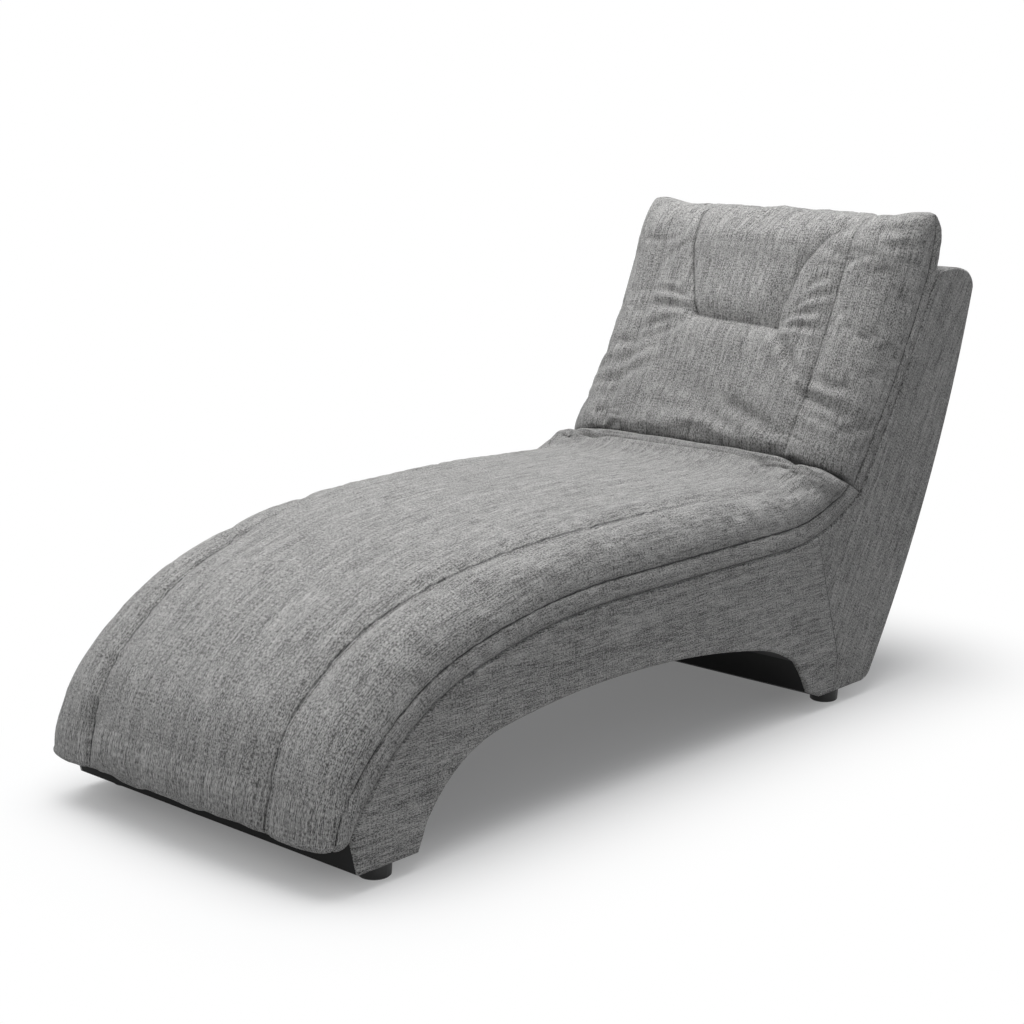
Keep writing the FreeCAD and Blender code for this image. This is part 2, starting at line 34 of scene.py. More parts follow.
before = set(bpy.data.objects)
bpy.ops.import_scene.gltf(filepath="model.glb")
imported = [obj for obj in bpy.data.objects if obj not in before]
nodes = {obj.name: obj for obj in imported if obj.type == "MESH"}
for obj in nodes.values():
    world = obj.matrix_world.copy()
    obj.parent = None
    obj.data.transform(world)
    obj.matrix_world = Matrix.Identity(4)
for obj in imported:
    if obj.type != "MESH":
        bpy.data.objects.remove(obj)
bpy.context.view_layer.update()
print("frame loaded: %d nodes" % len(nodes))


def newObject(name, mesh):
    obj = bpy.data.objects.new(name, mesh)
    bpy.context.scene.collection.objects.link(obj)
    return obj


def meshFrom(name, points, faces, edges=()):
    mesh = bpy.data.meshes.new(name)
    mesh.from_pydata([tuple(p) for p in points], edges, faces)
    mesh.update()
    return mesh


def smoothShade(mesh):
    mesh.polygons.foreach_set("use_smooth", [True] * len(mesh.polygons))


def ease(t):
    t = np.clip(t, 0.0, 1.0)
    return t * t * (3 - 2 * t)


def arcDrop(t):
    """How far a quarter circle has dropped, 0 at t = 0 and 1 at t = 1."""
    return 1 - np.sqrt(np.maximum(1 - t ** 2, 0))


def fading(distance, reach):
    return np.exp(-(distance / reach) ** 2)


def rising(value, start, run):
    return ease((value - start) / run)


def softEnd(t):
    """Share of the full height on a rounded end, 1 at t = 0 and 0 at t = 1."""
    return np.maximum(1 - np.abs(t) ** 2.5, 0.0) ** 0.4


def tableCurve(rows, at):
    """Smooth curve through given rows of (place, value)."""
    xs = np.array([r[0] for r in rows])
    ys = np.array([r[1] for r in rows])
    slopes = np.gradient(ys, xs)
    at = np.clip(at, xs[0], xs[-1])
    i = np.clip(np.searchsorted(xs, at, side="right") - 1, 0, len(xs) - 2)
    span = xs[i + 1] - xs[i]
    t = (at - xs[i]) / span
    return ((2 * t ** 3 - 3 * t ** 2 + 1) * ys[i] + (t ** 3 - 2 * t ** 2 + t) * span * slopes[i]
            + (3 * t ** 2 - 2 * t ** 3) * ys[i + 1] + (t ** 3 - t ** 2) * span * slopes[i + 1])


def softNoise(u, v, cellU, cellV, seed):
    """Smooth seeded noise from -1 to 1 over a surface."""
    size = 64
    lattice = np.random.default_rng(seed).uniform(-1, 1, (size, size))
    a, b = u / cellU + 31.7, v / cellV + 17.3
    i, j = np.floor(a).astype(int), np.floor(b).astype(int)
    s, t = ease(a - i), ease(b - j)
    i0, i1, j0, j1 = i % size, (i + 1) % size, j % size, (j + 1) % size
    low = lattice[i0, j0] * (1 - s) + lattice[i1, j0] * s
    high = lattice[i0, j1] * (1 - s) + lattice[i1, j1] * s
    return low * (1 - t) + high * t


def fold(u, v, points, width, depth):
    """Soft valley along a run of (u, v) points, shallow at its ends, with a low ridge beside it."""
    points = np.array(points, float)
    lengths = np.hypot(*np.diff(points, axis=0).T)
    total = lengths.sum()
    best = np.full(u.shape, 9.0)
    side = np.zeros(u.shape)
    share = np.zeros(u.shape)
    done = 0.0
    for a, b, length in zip(points[:-1], points[1:], lengths):
        d = (b - a) / length
        t = np.clip((u - a[0]) * d[0] + (v - a[1]) * d[1], 0, length)
        du, dv = u - a[0] - d[0] * t, v - a[1] - d[1] * t
        dist = np.hypot(du, dv)
        near = dist < best
        best = np.where(near, dist, best)
        side = np.where(near, du * d[1] - dv * d[0], side)
        share = np.where(near, (done + t) / total, share)
        done += length
    taper = np.sin(np.pi * np.clip(share, 0.02, 0.98)) ** 0.6
    ridge = 0.55 * fading(best - 1.7 * width, 0.9 * width) * (0.6 + 0.4 * np.sign(side))
    return depth * taper * (ridge - fading(best, width))


# side lines of the frame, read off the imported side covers
def treeOf(*names):
    points, faces = [], []
    for name in names:
        mesh = nodes[name].data
        start = len(points)
        points += [v.co.copy() for v in mesh.vertices]
        faces += [[start + i for i in p.vertices] for p in mesh.polygons]
    return BVHTree.FromPolygons(points, faces)


def firstHits(tree, origins, direction):
    hits = []
    for origin in origins:
        place = tree.ray_cast(Vector(origin), Vector(direction))[0]
        if place is not None:
            hits.append((place.y, place.z))
    return hits


class Path:
    """A line in the side plane, with places measured along it in metres."""

    def __init__(self, points, smooth=0.02):
        points = np.array(points)
        run = np.r_[0, np.cumsum(np.hypot(*np.diff(points, axis=0).T))]
        self.step = 0.002
        even = np.arange(0, run[-1], self.step)
        y, z = np.interp(even, run, points[:, 0]), np.interp(even, run, points[:, 1])
        half = int(smooth / self.step)
        kernel = np.hanning(2 * half + 3)[1:-1]
        kernel /= kernel.sum()

        def soften(values):
            start = 2 * values[0] - values[half:0:-1]
            end = 2 * values[-1] - values[-2:-half - 2:-1]
            return np.convolve(np.r_[start, values, end], kernel, "valid")

        self.y, self.z = soften(y), soften(z)
        self.places = even
        self.length = even[-1]

    def at(self, places):
        """Points and outward normals, the ends carried straight on."""
        places = np.asarray(places, float)
        inside = np.clip(places, self.places[0], self.places[-1])
        y, z = np.interp(inside, self.places, self.y), np.interp(inside, self.places, self.z)
        reach = 0.006
        ahead = np.clip(inside + reach, self.places[0], self.places[-1])
        behind = np.clip(inside - reach, self.places[0], self.places[-1])
        ty = np.interp(ahead, self.places, self.y) - np.interp(behind, self.places, self.y)
        tz = np.interp(ahead, self.places, self.z) - np.interp(behind, self.places, self.z)
        size = np.hypot(ty, tz)
        ty, tz = ty / size, tz / size
        over = places - inside
        return np.stack([y + ty * over, z + tz * over], -1), np.stack([-tz, ty], -1)


trace = {
    "inset": 0.006,             # from the outside face of a side cover
    "rim": 0.009,               # from the top of the shell
    "step": 0.004,
    "shin": 0.17,               # height of the steep line at the foot end
    "away": 3,                  # where the rays start
}
away, rayStep = trace["away"], trace["step"]
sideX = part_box("base_side_cover_right")[1].x - trace["inset"]
sides = treeOf("base_side_cover_right", "back_side_cover_right")
noseLow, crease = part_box("spring_felt")
shinRays = [(sideX, -away, z) for z in np.arange(noseLow.z, noseLow.z + trace["shin"], rayStep)]
shin = firstHits(sides, shinRays, (0, 1, 0))
topRays = [(sideX, y, away)
           for y in np.arange(shin[-1][0] + rayStep, crease.y - trace["inset"], rayStep)]
deckPath = Path(shin + firstHits(sides, topRays, (0, 0, -1)) + [(crease.y, crease.z)])
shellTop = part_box("back_side_cover_right")[1].z - trace["rim"]
backRays = [(sideX, -away, z) for z in np.arange(crease.z + 0.002, shellTop, rayStep)]
backPath = Path([(crease.y, crease.z)] + firstHits(sides, backRays, (0, 1, 0)))
print("deck line %.3f m, back line %.3f m" % (deckPath.length, backPath.length))


# node helpers, for shaders and geometry alike
def addNode(tree, kind, wires=None, **settings):
    """New node; wires gives its inputs their values or the sockets that feed them."""
    node = tree.nodes.new(kind)
    for key, value in settings.items():
        setattr(node, key, value)
    for socket, value in (wires or {}).items():
        if hasattr(value, "is_output"):
            tree.links.new(value, node.inputs[socket])
        else:
            node.inputs[socket].default_value = value
    return node


def mathNode(tree, operation, a, b=None, clamp=False):
    wires = {0: a} if b is None else {0: a, 1: b}
    return addNode(tree, "ShaderNodeMath", wires, operation=operation,
                   use_clamp=clamp).outputs[0]


def vectorMath(tree, operation, wires):
    node = addNode(tree, "ShaderNodeVectorMath", wires, operation=operation)
    single = operation in ("DOT_PRODUCT", "DISTANCE", "LENGTH")
    return node.outputs["Value" if single else "Vector"]


def noiseNode(tree, vector, scale, detail, rough):
    wires = {"Vector": vectorMath(tree, "MULTIPLY", {0: vector, 1: scale}),
             "Scale": 1.0, "Detail": detail, "Roughness": rough}
    return addNode(tree, "ShaderNodeTexNoise", wires).outputs["Fac"]


def newGroup(name, kind, inputs, outputs):
    """Node group with named sockets, and its nodes of inputs and outputs."""
    group = bpy.data.node_groups.new(name, kind)
    for label, socket in inputs.items():
        group.interface.new_socket(label, in_out="INPUT", socket_type=socket)
    for label, socket in outputs.items():
        group.interface.new_socket(label, in_out="OUTPUT", socket_type=socket)
    return group, group.nodes.new("NodeGroupInput").outputs, \
        group.nodes.new("NodeGroupOutput").inputs


# heathered cloth: a fine mottled grain of short yarns with faint long slubs along the second axis
heather = {
    "grainAcross": 640.0,       # yarns per metre across, and along
    "grainAlong": 270.0,
    "slubAcross": 640.0,
    "slubAlong": 36.0,
    "streakAcross": 130.0,
    "streakAlong": 7.0,
    "weavePitch": 0.0021,
    "grainWeight": 3.8,
    "slubWeight": 1.9,
    "weftWeight": 0.85,         # the same slubs in the yarns that run across
    "streakWeight": 0.80,
    "cloudWeight": 0.30,
    "weaveTone": 0.10,
    "weaveHeight": 0.4,
    "slubHeight": 0.4,
}


def heatherGroup():
    group, inputs, outputs = newGroup("HeatherCloth", "ShaderNodeTree",
                                      {"Vector": "NodeSocketVector"},
                                      {"Tone": "NodeSocketFloat", "Height": "NodeSocketFloat"})
    vector = inputs["Vector"]
    slubs = heather["slubAcross"], heather["slubAlong"]
    grain = noiseNode(group, vector, (heather["grainAcross"], heather["grainAlong"], 300), 2, 0.75)
    slub = noiseNode(group, vector, (*slubs, 40), 2, 0.6)
    weft = noiseNode(group, vector, (*slubs[::-1], 60), 2, 0.6)
    streak = noiseNode(group, vector, (heather["streakAcross"], heather["streakAlong"], 20), 2, 0.5)
    cloud = noiseNode(group, vector, (16, 12, 12), 3, 0.6)
    split = addNode(group, "ShaderNodeSeparateXYZ", {0: vector})
    turn = 2 * math.pi / heather["weavePitch"]
    waveU, waveV = [mathNode(group, "SINE", mathNode(group, "MULTIPLY", split.outputs[k], turn))
                    for k in range(2)]
    weave = mathNode(group, "MULTIPLY", waveU, waveV)
    tone = None
    for value, weight in ((grain, "grainWeight"), (slub, "slubWeight"), (weft, "weftWeight"),
                          (streak, "streakWeight"), (cloud, "cloudWeight")):
        part = mathNode(group, "MULTIPLY", mathNode(group, "SUBTRACT", value, 0.5),
                        heather[weight])
        tone = part if tone is None else mathNode(group, "ADD", tone, part)
    tone = mathNode(group, "ADD", tone, mathNode(group, "MULTIPLY", weave, heather["weaveTone"]))
    tone = mathNode(group, "ADD", tone, 0.5, clamp=True)
    yarns = mathNode(group, "MULTIPLY", slub, heather["slubHeight"])
    height = mathNode(group, "ADD", mathNode(group, "MULTIPLY", weave, heather["weaveHeight"]),
                      mathNode(group, "ADD", yarns, grain))
    group.links.new(tone, outputs["Tone"])
    group.links.new(height, outputs["Height"])
    return group


clothTone = {
    "dark": (0.085, 0.083, 0.081),
    "light": (0.640, 0.632, 0.618),
}
clothGroup = heatherGroup()


def principled(name, color, roughness, metallic=0.0, sheen=0.0):
    material = bpy.data.materials.new(name)
    material.use_nodes = True
    shader = material.node_tree.nodes["Principled BSDF"]
    shader.inputs["Base Color"].default_value = (*color, 1)
    shader.inputs["Roughness"].default_value = roughness
    shader.inputs["Metallic"].default_value = metallic
    shader.inputs["Sheen Weight"].default_value = sheen
    shader.inputs["Specular IOR Level"].default_value = 0.25 if sheen else 0.5
    return material, shader


# the slanting seam of the side covers behind the seat, as (Y, Z)
sideSeam = {
    "points": [(0.3250, 0.4100), (0.3485, 0.3340), (0.4235, 0.0920), (0.4115, 0.0270)],
    "width": 0.0016,
    "swell": 0.012,
    "dark": 0.75,
    "hollow": 0.35,
}


def seamGroup():
    """Masks for a crisp line and a soft hollow along the side seam, in object space."""
    group, inputs, outputs = newGroup("SideSeam", "ShaderNodeTree",
                                      {"Vector": "NodeSocketVector"},
                                      {"Line": "NodeSocketFloat", "Hollow": "NodeSocketFloat"})
    flat = vectorMath(group, "MULTIPLY", {0: inputs["Vector"], 1: (0, 1, 1)})
    nearest = None
    points = sideSeam["points"]
    for (ay, az), (by, bz) in zip(points[:-1], points[1:]):
        run = Vector((0, by - ay, bz - az))
        offset = vectorMath(group, "SUBTRACT", {0: flat, 1: (0, ay, az)})
        share = vectorMath(group, "DOT_PRODUCT", {0: offset, 1: run / run.length_squared})
        along = mathNode(group, "ADD", share, 0.0, clamp=True)
        foot = vectorMath(group, "SCALE", {0: run, "Scale": along})
        distance = vectorMath(group, "DISTANCE", {0: offset, 1: foot})
        nearest = distance if nearest is None else mathNode(group, "MINIMUM", nearest, distance)
    for label, width in (("Line", sideSeam["width"]), ("Hollow", sideSeam["swell"])):
        wires = {"Value": nearest, "From Max": width, "To Min": 1.0, "To Max": 0.0}
        ramp = addNode(group, "ShaderNodeMapRange", wires, interpolation_type="SMOOTHSTEP")
        group.links.new(ramp.outputs["Result"], outputs[label])
    return group


seamLines = seamGroup()
relief = {
    "bump": 0.7,
    "bumpDepth": 0.0012,
    "wave": 0.6,                # slow waves of cloth over wadding
    "waveDepth": 0.008,
    "wavesPerMetre": 9,
    # colour of the seam lines and of the painted shade on the cushions
    "seamAndShadeColor": (0.018, 0.018, 0.018),
}


def mixed(tree, share, a, b):
    node = addNode(tree, "ShaderNodeMix", {"Factor": share, "A": a, "B": b}, data_type="RGBA")
    return node.outputs["Result"]


def clothMaterial(name, along=None, across=None, seamAndShadeMask=False, sideLine=False):
    """Heathered cloth, on the piece's own UVs or along two directions of the object."""
    material, shader = principled(name, (0.2, 0.2, 0.2), 0.92, sheen=0.2)
    tree = material.node_tree
    place = addNode(tree, "ShaderNodeTexCoord").outputs["Object"]
    if along is None:
        vector = addNode(tree, "ShaderNodeUVMap", uv_map="weave").outputs["UV"]
    else:
        axes = (across, along, Vector(across).cross(Vector(along)))
        parts = {k: vectorMath(tree, "DOT_PRODUCT", {0: place, 1: Vector(axis).normalized()})
                 for k, axis in enumerate(axes)}
        vector = addNode(tree, "ShaderNodeCombineXYZ", parts).outputs[0]
    cloth = addNode(tree, "ShaderNodeGroup", {"Vector": vector}, node_tree=clothGroup)
    color = mixed(tree, cloth.outputs["Tone"], (*clothTone["dark"], 1), (*clothTone["light"], 1))
    mask = hollow = None
    if seamAndShadeMask:
        # the seam attribute holds the seam lines together with painted shade at the cushions' lower
        # edge and crease
        mask = addNode(tree, "ShaderNodeAttribute", attribute_name="seam").outputs["Fac"]
    if sideLine:
        line = addNode(tree, "ShaderNodeGroup", {"Vector": place}, node_tree=seamLines)
        mask = mathNode(tree, "MULTIPLY", line.outputs["Line"], sideSeam["dark"])
        hollow = mathNode(tree, "MULTIPLY", line.outputs["Hollow"], sideSeam["hollow"])
    # seam lines, and on the cushions painted shade, darken the cloth
    if mask is not None:
        color = mixed(tree, mask, color, (*relief["seamAndShadeColor"], 1))
    tree.links.new(color, shader.inputs["Base Color"])
    bump = addNode(tree, "ShaderNodeBump", {"Strength": relief["bump"],
                                            "Distance": relief["bumpDepth"],
                                            "Height": cloth.outputs["Height"]})
    tree.links.new(bump.outputs["Normal"], shader.inputs["Normal"])
    if along is not None:
        slack = noiseNode(tree, place, [relief["wavesPerMetre"]] * 3, 1, 0.4)
        if hollow is not None:
            slack = mathNode(tree, "SUBTRACT", slack, hollow)
        wave = addNode(tree, "ShaderNodeBump", {"Strength": relief["wave"],
                                                "Distance": relief["waveDepth"],
                                                "Height": slack})
        tree.links.new(wave.outputs["Normal"], bump.inputs["Normal"])
    return material


backTop = backPath.at([backPath.length])[0][0]
backLean = Vector((0, backTop[0] - crease.y, backTop[1] - crease.z)).normalized()
cushionCloth = clothMaterial("cushionCloth", seamAndShadeMask=True)
sideCloth = clothMaterial("sideCloth", along=(0, 1, 0), across=(0, 0, 1), sideLine=True)
backSideCloth = clothMaterial("backSideCloth", along=backLean,
                              across=(0, backLean.z, -backLean.y), sideLine=True)
rearCloth = clothMaterial("rearCloth", along=backLean, across=(1, 0, 0))
blackCloth = principled("blackCloth", (0.010, 0.010, 0.010), 0.85, sheen=0.1)[0]
footPlastic = principled("footPlastic", (0.012, 0.012, 0.012), 0.42)[0]
plywood = principled("plywood", (0.55, 0.38, 0.21), 0.7)[0]
hardwood = principled("hardwood", (0.46, 0.29, 0.15), 0.65)[0]
felt = principled("felt", (0.42, 0.41, 0.39), 0.95, sheen=0.3)[0]
foam = principled("foam", (0.80, 0.74, 0.55), 0.9)[0]
springSteel = principled("springSteel", (0.20, 0.20, 0.21), 0.38, metallic=1.0)[0]
clipSteel = principled("clipSteel", (0.55, 0.55, 0.56), 0.35, metallic=1.0)[0]
webbing = principled("webbing", (0.02, 0.02, 0.02), 0.8, sheen=0.2)[0]

# the frame's nodes by the start of their names; the rest is plywood
nodeLooks = [
    (("base_side_cover",), sideCloth, "side_weave"),
    (("back_side_cover",), backSideCloth, "side_weave"),
    (("outer_back_cover",), rearCloth, "side_weave"),
    (("seat_cover", "back_cover"), cushionCloth, "cushion_weave"),
    (("front_board_cloth", "arch_lining", "front_dust_cloth", "rear_dust_cloth"),
     blackCloth, "black_cloth"),
    (("front_feet", "rear_feet"), footPlastic, "foot_plastic"),
    (("foot_studs", "spring_clips"), clipSteel, "steel"),
    (("seat_spring",), springSteel, "spring_steel"),
    (("spring_felt",), felt, "felt"),
    (("back_strap",), webbing, "webbing"),
    (("corner_block",), hardwood, "hardwood"),
    (("seat_foam", "back_foam"), foam, "foam"),
]
for name, obj in nodes.items():
    look = next((row[1:] for row in nodeLooks if name.startswith(row[0])), (plywood, "plywood"))
    obj.data.materials.clear()
    obj.data.materials.append(look[0])
print("materials on %d frame nodes" % len(nodes))


# cushions: a grid of rows along a path and columns round the section
def clustered(length, fine, coarse, growth=1.35):
    """Places from 0 to 1 along a panel, closest together at its seams."""
    steps, reach, step = [0.0], 0.0, fine
    while reach < length / 2:
        reach += step
        steps.append(reach)
        step = min(step * growth, coarse)
    steps = np.array(steps[:-1]) if len(steps) > 2 else np.array(steps)
    low = steps / length
    middle = [] if low[-1] > 0.49 else [0.5]
    return np.r_[low, middle, 1 - low[::-1]]


def columnPlan(shape, fine, coarse):
    """Column places as panel number + share, for band, shoulder, middle, shoulder, band."""
    shoulder = 0.75 * ((shape["halfWidth"] - shape["seamX"]) + shape["height"] - shape["band"])
    lengths = (shape["band"], shoulder, 2 * shape["seamX"], shoulder, shape["band"])
    places = []
    for k, length in enumerate(lengths):
        shares = clustered(length, fine, coarse)
        places.extend(k + shares[:-1])
    return np.array(places + [5.0])


def sectionGrid(columns, side, height, seam, band, dome):
    """X and height over the base for every row and column."""
    x = np.zeros((len(side), len(columns)))
    h = np.zeros(x.shape)
    low = np.minimum(band, height * 0.5)
    for j, place in enumerate(columns):
        panel = min(int(place), 4)
        share, sign = place - panel, -1
        if panel > 2:
            panel, share, sign = 4 - panel, 1 - share, 1
        if panel == 0:
            x[:, j], h[:, j] = sign * side, low * share
        elif panel == 1:
            turn = share * math.pi / 2
            x[:, j] = sign * (seam + (side - seam) * math.cos(turn))
            h[:, j] = low + (height - low) * math.sin(turn)
        else:
            x[:, j] = -seam * (1 - 2 * share)
            h[:, j] = height + dome * (1 - (1 - 2 * share) ** 2)
    return x, h


def gridPoints(base, up, x, h):
    y = base[:, None, 0] + up[:, None, 0] * h
    z = base[:, None, 1] + up[:, None, 1] * h
    return np.stack([x, y, z], -1)


def gridNormals(points):
    normals = np.cross(np.gradient(points, axis=1), np.gradient(points, axis=0))
    return normals / np.maximum(np.linalg.norm(normals, axis=-1, keepdims=True), 1e-9)


def acrossRun(points):
    """Distance round the section from its first column, for every grid point."""
    steps = np.linalg.norm(np.diff(points, axis=1), axis=-1)
    return np.concatenate([np.zeros((len(points), 1)), np.cumsum(steps, axis=1)], axis=1)


def seamColumn(columns, seam):
    """Column that lies on the seam before panel number seam."""
    return int(np.argmin(np.abs(columns - seam)))


def gridMesh(name, points):
    """Closed mesh of a section grid: its faces, a flat base strip and two end caps."""
    rows, columns = points.shape[:2]
    faces = []
    for first in range(0, (rows - 1) * columns, columns):
        above, last = first + columns, first + columns - 1
        faces += [(first + j, first + j + 1, above + j + 1, above + j) for j in range(columns - 1)]
        faces.append((last, first, above, last + columns))
    faces.append(tuple(range(columns - 1, -1, -1)))
    faces.append(tuple(range((rows - 1) * columns, rows * columns)))
    return meshFrom(name, points.reshape(-1, 3), faces)


simulation = {
    "pressure": 4.0,
    "frames": 20,
    "swell": 0.012,             # the cloth is cut this much larger than the form
    "cap": 0.008,               # no point moves further than this
    "step": 0.012,              # spacing of the simulated grid, and at its seams
    "seamStep": 0.009,
    "seamPin": 0.6,             # hold of the long seams; edges and piped seams stay put
    "mass": 0.3,
    "stretch": 15,
    "shear": 8,
    "bend": 0.8,
}


def simulatedPuff(points, pinned):
    """Runs Cloth with pressure on a coarse grid and gives back how far each point moved."""
    obj = newObject("puff", gridMesh("puff", points))
    group = obj.vertex_groups.new(name="pinned")
    flat = pinned.reshape(-1)
    for value in sorted(set(flat[flat > 0])):
        group.add(np.flatnonzero(flat == value).tolist(), float(value), "REPLACE")
    settings = obj.modifiers.new("cloth", "CLOTH").settings
    settings.vertex_group_mass = "pinned"
    settings.quality = 5
    settings.mass = simulation["mass"]
    settings.use_pressure = True
    settings.uniform_pressure_force = simulation["pressure"]
    settings.shrink_min = -simulation["swell"]
    settings.effector_weights.gravity = 0.0
    settings.tension_stiffness = settings.compression_stiffness = simulation["stretch"]
    settings.shear_stiffness = simulation["shear"]
    settings.bending_stiffness = simulation["bend"]
    scene = bpy.context.scene
    for step in range(1, simulation["frames"] + 1):
        scene.frame_set(step)
    settled = obj.evaluated_get(bpy.context.evaluated_depsgraph_get()).to_mesh()
    moved = np.zeros(len(settled.vertices) * 3)
    settled.vertices.foreach_get("co", moved)
    moved = moved.reshape(points.shape) - points
    scene.frame_set(1)
    bpy.data.objects.remove(obj)
    size = np.linalg.norm(moved, axis=-1, keepdims=True)
    return moved * np.minimum(1.0, simulation["cap"] / np.maximum(size, 1e-9))


def puffed(gridOf, shape):
    """Simulated swelling of a cushion on a coarse copy of its grid."""
    columns = columnPlan(shape, simulation["seamStep"], simulation["step"])
    points, places = gridOf(columns, simulation["step"])[:2]
    pins = np.zeros(points.shape[:2])
    pins[:, 0] = pins[:, -1] = pins[0] = pins[-1] = 1
    for seam, hold in ((1, 1), (4, 1), (2, simulation["seamPin"]), (3, simulation["seamPin"])):
        pins[:, seamColumn(columns, seam)] = hold
    return simulatedPuff(points, pins), places, columns


def resampled(field, rowsFrom, columnsFrom, rowsTo, columnsTo):
    across = np.stack([[np.interp(columnsTo, columnsFrom, row[:, k]) for k in range(3)]
                       for row in field])
    out = np.zeros((len(rowsTo), len(columnsTo), 3))
    for k in range(3):
        for j in range(len(columnsTo)):
            out[:, j, k] = np.interp(rowsTo, rowsFrom, across[:, k, j])
    return out


def seamLine(distance, groove, width, pull, reach):
    """Sewn seam: a narrow groove in a wider drawn-in valley."""
    return -groove * fading(distance, width) - pull * fading(distance, reach)


def lineDistance(u, v, points):
    """Distance of every grid point from a run of (u, v) points."""
    best = np.full(u.shape, 9.0)
    for (au, av), (bu, bv) in zip(points[:-1], points[1:]):
        du, dv = bu - au, bv - av
        t = np.clip(((u - au) * du + (v - av) * dv) / (du * du + dv * dv), 0, 1)
        best = np.minimum(best, np.hypot(u - au - du * t, v - av - dv * t))
    return best


stitching = {
    "pitch": 0.0062,
    "length": 0.0042,
    "radius": 0.00050,
    "offset": 0.0065,           # from the seam to the row of thread
    "shortest": 0.88,
    "lapWidth": 0.0015,         # the cloth sinks a little under the thread of the seat
    "lapDepth": 0.0012,
    "lapDark": 0.30,
    "lapEnd": 0.95,             # along the seat, and the run before it
    "lapFade": 0.5,
    "seed": 7,
}


def stitchNodes():
    """Node group that sews a row of thread along an edge chain."""
    group, inputs, outputs = newGroup(
        "StitchRow", "GeometryNodeTree",
        {"Geometry": "NodeSocketGeometry", "Pitch": "NodeSocketFloat",
         "Length": "NodeSocketFloat", "Radius": "NodeSocketFloat",
         "Seed": "NodeSocketInt", "Material": "NodeSocketMaterial"},
        {"Geometry": "NodeSocketGeometry"})
    curve = addNode(group, "GeometryNodeMeshToCurve", {"Mesh": inputs["Geometry"]})
    evenly = addNode(group, "GeometryNodeResampleCurve",
                     {"Curve": curve.outputs["Curve"], "Length": inputs["Pitch"]}, mode="LENGTH")
    tangent = addNode(group, "GeometryNodeInputTangent").outputs["Tangent"]
    turn = addNode(group, "FunctionNodeAlignRotationToVector", {"Vector": tangent}, axis="Z")
    bead = addNode(group, "GeometryNodeMeshUVSphere", {"Segments": 8, "Rings": 6, "Radius": 0.5})
    wide = mathNode(group, "MULTIPLY", inputs["Radius"], 2.0)
    size = addNode(group, "ShaderNodeCombineXYZ", {"X": wide, "Y": wide, "Z": inputs["Length"]})
    vary = addNode(group, "FunctionNodeRandomValue",
                   {"Min": stitching["shortest"], "Max": 1.0, "Seed": inputs["Seed"]},
                   data_type="FLOAT")
    share = [o for o in vary.outputs if o.enabled][0]
    sewn = addNode(group, "GeometryNodeInstanceOnPoints", {
        "Points": evenly.outputs["Curve"], "Instance": bead.outputs["Mesh"],
        "Rotation": turn.outputs["Rotation"],
        "Scale": vectorMath(group, "SCALE", {0: size.outputs[0], "Scale": share})})
    real = addNode(group, "GeometryNodeRealizeInstances", {"Geometry": sewn.outputs["Instances"]})
    look = addNode(group, "GeometryNodeSetMaterial",
                   {"Geometry": real.outputs["Geometry"], "Material": inputs["Material"]})
    group.links.new(look.outputs["Geometry"], outputs["Geometry"])
    return group


stitchGroup = stitchNodes()
thread = principled("thread", (0.055, 0.054, 0.052), 0.7, sheen=0.1)[0]
threads = []


def seamRow(points, columns, places, seam, first, last):
    """Points just over the cloth, beside one long seam."""
    run = acrossRun(points)
    normals = gridNormals(points)
    target = run[:, seamColumn(columns, seam)] + stitching["offset"] * np.sign(seam - 2.5)
    out = []
    for r in np.flatnonzero((places >= first) & (places <= last)):
        at, up = [[np.interp(target[r], run[r], field[r, :, k]) for k in range(3)]
                  for field in (points, normals)]
        out.append(Vector(at) + Vector(up).normalized() * 0.0001)
    return out


def sewRows(name, chains):
    """One piece with a row of stitches along every chain of points."""
    points, edges = [], []
    for chain in chains:
        start = len(points)
        points += chain
        edges += [(start + k, start + k + 1) for k in range(len(chain) - 1)]
    obj = newObject(name, meshFrom(name, points, [], edges))
    modifier = obj.modifiers.new("stitches", "NODES")
    modifier.node_group = stitchGroup
    values = {"Pitch": stitching["pitch"], "Length": stitching["length"],
              "Radius": stitching["radius"], "Seed": stitching["seed"], "Material": thread}
    for item in stitchGroup.interface.items_tree:
        if item.in_out == "INPUT" and item.name in values:
            modifier[item.identifier] = values[item.name]
    bpy.context.view_layer.update()
    solid = bpy.data.meshes.new_from_object(
        obj.evaluated_get(bpy.context.evaluated_depsgraph_get()))
    obj.modifiers.remove(modifier)
    obj.data = solid
    if not solid.materials:
        solid.materials.append(thread)
    smoothShade(solid)
    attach(obj, "root")
    return obj


# what both cushions share, at their lower edge and at the crease between them
edge = {
    "gap": 0.0004,              # from the covers under a cushion
    "tuck": 0.0030,             # the lowest few millimetres turn in by this much
    "gapShade": 0.9,             # painted shade line where the band meets the side cover
    "gapFrom": 0.024,           # inside the cushion's side, and its run
    "gapRun": 0.012,
    "freeFrom": 0.02,           # height where folds and waves set in, and its run
    "freeRun": 0.04,
    "seamDark": 0.0016,         # width of the dark line in a seam
    "lossFrom": 0.70,           # along the cushion, where a seam starts to fade, and its run
    "lossRun": 0.35,
    "lean": 34.0,               # slope of the crease in degrees
    "draw": 0.014,              # the top corners are drawn in by this much at the crease
    "drawFrom": 0.22,           # from the middle, its run, and its run up over the band
    "drawRun": 0.08,
    "drawRise": 0.02,
    "nearCrease": 0.05,         # rows lie closer together within this distance
    "closeRows": 0.0028,
}
creaseUp = np.array([-math.cos(math.radians(edge["lean"])), math.sin(math.radians(edge["lean"]))])


